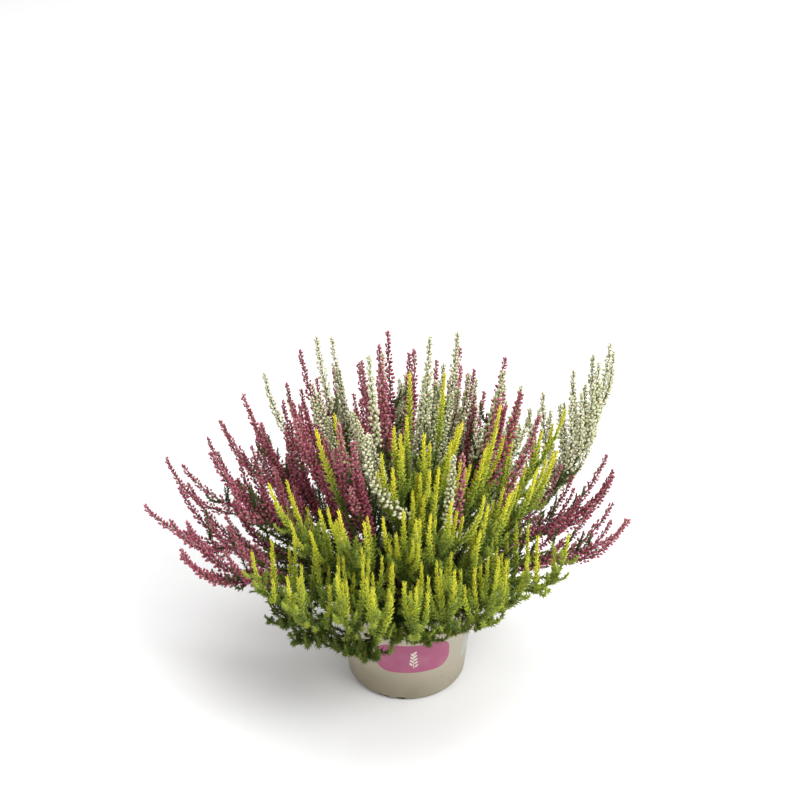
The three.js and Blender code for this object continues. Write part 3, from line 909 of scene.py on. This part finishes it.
# The soil keeps its solid and gets crumbs on top. Dark crumbs of peat also lie in the drainage slots, as
# painted shade where the pale floor shows through them. A crumb is flattened by two shares of its size.
crumbs = {"count": 420, "size": (0.5, 1.7), "within": 60, "above": 0.2, "shadeCrumbsPerSlot": 12, "shadeCrumbSize": 1.2,
          "shadeCrumbTurn": 4.2, "slotShadeRadius": (50.5, 53.5), "flatter": (0.7, 0.8), "turn": 3, "seed": 4211}
peat = {"coarse": (240, 4), "fine": (900, 3), "shares": (0.6, 0.4), "bump": (0.6, 0.0015),
        "colours": ((0.35, (0.012, 0.008, 0.005)), (0.65, (0.06, 0.038, 0.022)))}


def soilFinish():
    finish = Finish("dry peat", Roughness=0.95, Specular_IOR_Level=0.2)
    place = finish.objectPlace()
    coarse, fine = finish.noise(*peat["coarse"], place), finish.noise(*peat["fine"], place)
    colour = finish.ramp(coarse * peat["shares"][0] + fine * peat["shares"][1], *peat["colours"])
    return finish.feed(Base_Color=colour, Normal=finish.bump(coarse + fine, *peat["bump"]))


def makeCrumbs():
    bm = bmesh.new()
    draw = drawsFrom(crumbs["seed"])
    top, shadeCrumbSize = soilTop + crumbs["above"], crumbs["shadeCrumbSize"]
    spots = [(polar(draw(0, 360), crumbs["within"] * math.sqrt(draw(0, 1)), top), draw(*crumbs["size"]))
             for _ in range(crumbs["count"])]
    # Dark crumbs in each slot, as painted shade
    for azimuth in slotAzimuths:
        for _ in range(crumbs["shadeCrumbsPerSlot"]):
            turn = draw(-crumbs["shadeCrumbTurn"], crumbs["shadeCrumbTurn"])
            spots.append((polar(azimuth + turn, draw(*crumbs["slotShadeRadius"]), shadeCrumbSize), shadeCrumbSize))
    wide, high = crumbs["flatter"]
    for spot, size in spots:
        matrix = Matrix.Translation(spot * mm)
        for axis in "XZ":
            matrix = matrix @ Matrix.Rotation(draw(0, crumbs["turn"]), 4, axis)
        matrix = matrix @ Matrix.Diagonal((size * mm, size * wide * mm, size * high * mm, 1))
        bmesh.ops.create_icosphere(bm, subdivisions=1, radius=1, matrix=matrix)
    return bm


soilMaterial = soilFinish()
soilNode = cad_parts["soil"]
soilNode.data.materials.clear()
soilNode.data.materials.append(soilMaterial)
onPlant(pieceOf("soil_crumbs", makeCrumbs(), soilMaterial, smooth=False), "soil")
print("pot dressed")

# Floor, light and camera, in metres
studio = {"floor": (0.86, 0.86, 0.86, 1), "floorHalf": 6, "floorDown": 0.0005, "sky": (1, 1, 1, 1),
          "skyPower": 0.5, "lampsAim": (0, 0, 0.2)}
lamps = [
    {"name": "key", "at": (1.6, -1.1, 2.2), "size": 1.3, "power": 66},
    {"name": "fill", "at": (-1.9, -1.1, 1.3), "size": 1.8, "power": 12},
    {"name": "top", "at": (0.2, 0.7, 2.4), "size": 2.0, "power": 46},
]
bm = bmesh.new()
bmesh.ops.create_grid(bm, x_segments=1, y_segments=1, size=studio["floorHalf"],
                      matrix=Matrix.Translation((0, 0, -studio["floorDown"])))
floor = pieceOf("floor", bm, Finish("pale floor", Base_Color=studio["floor"], Roughness=0.7).material)

for lamp in lamps:
    light = bpy.data.lights.new(lamp["name"], "AREA")
    light.size, light.energy = lamp["size"], lamp["power"]
    holder = bpy.data.objects.new(lamp["name"], light)
    holder.location = lamp["at"]
    aim = Vector(studio["lampsAim"]) - holder.location
    holder.rotation_euler = aim.to_track_quat("-Z", "Y").to_euler()
    bpy.context.scene.collection.objects.link(holder)
world = bpy.data.worlds.new("studio")
world.use_nodes = True
background = world.node_tree.nodes["Background"]
background.inputs["Color"].default_value = studio["sky"]
background.inputs["Strength"].default_value = studio["skyPower"]
bpy.context.scene.world = world
bpy.context.scene.view_settings.view_transform = "Standard"

# The camera looks down on the pot from the front. footAt is where the pot's foot shows in a picture of that
# size, below its middle.
view = {"down": 34.5, "lens": 85, "sensor": 36, "away": 1.807, "footAt": (406.5, 660), "picture": 800}
camera = bpy.data.cameras.new("camera")
camera.lens, camera.sensor_width = view["lens"], view["sensor"]
pixels = view["lens"] / view["sensor"] * view["picture"]
slope = math.radians(view["down"])
forward, right = Vector((0, math.cos(slope), -math.sin(slope))), Vector((1, 0, 0))
upward = Vector((0, math.sin(slope), math.cos(slope)))
footRight, footDown = ((at - view["picture"] / 2) / pixels for at in view["footAt"])
holder = bpy.data.objects.new("camera", camera)
holder.location = -view["away"] * (forward + right * footRight - upward * footDown)
holder.rotation_euler = (math.radians(90) - slope, 0, 0)
bpy.context.scene.collection.objects.link(holder)
bpy.context.scene.camera = holder

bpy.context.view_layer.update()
for piece in pieces:
    piece.data.calc_loop_triangles()
print("triangles on the plants:", sum(len(piece.data.loop_triangles) for piece in pieces))
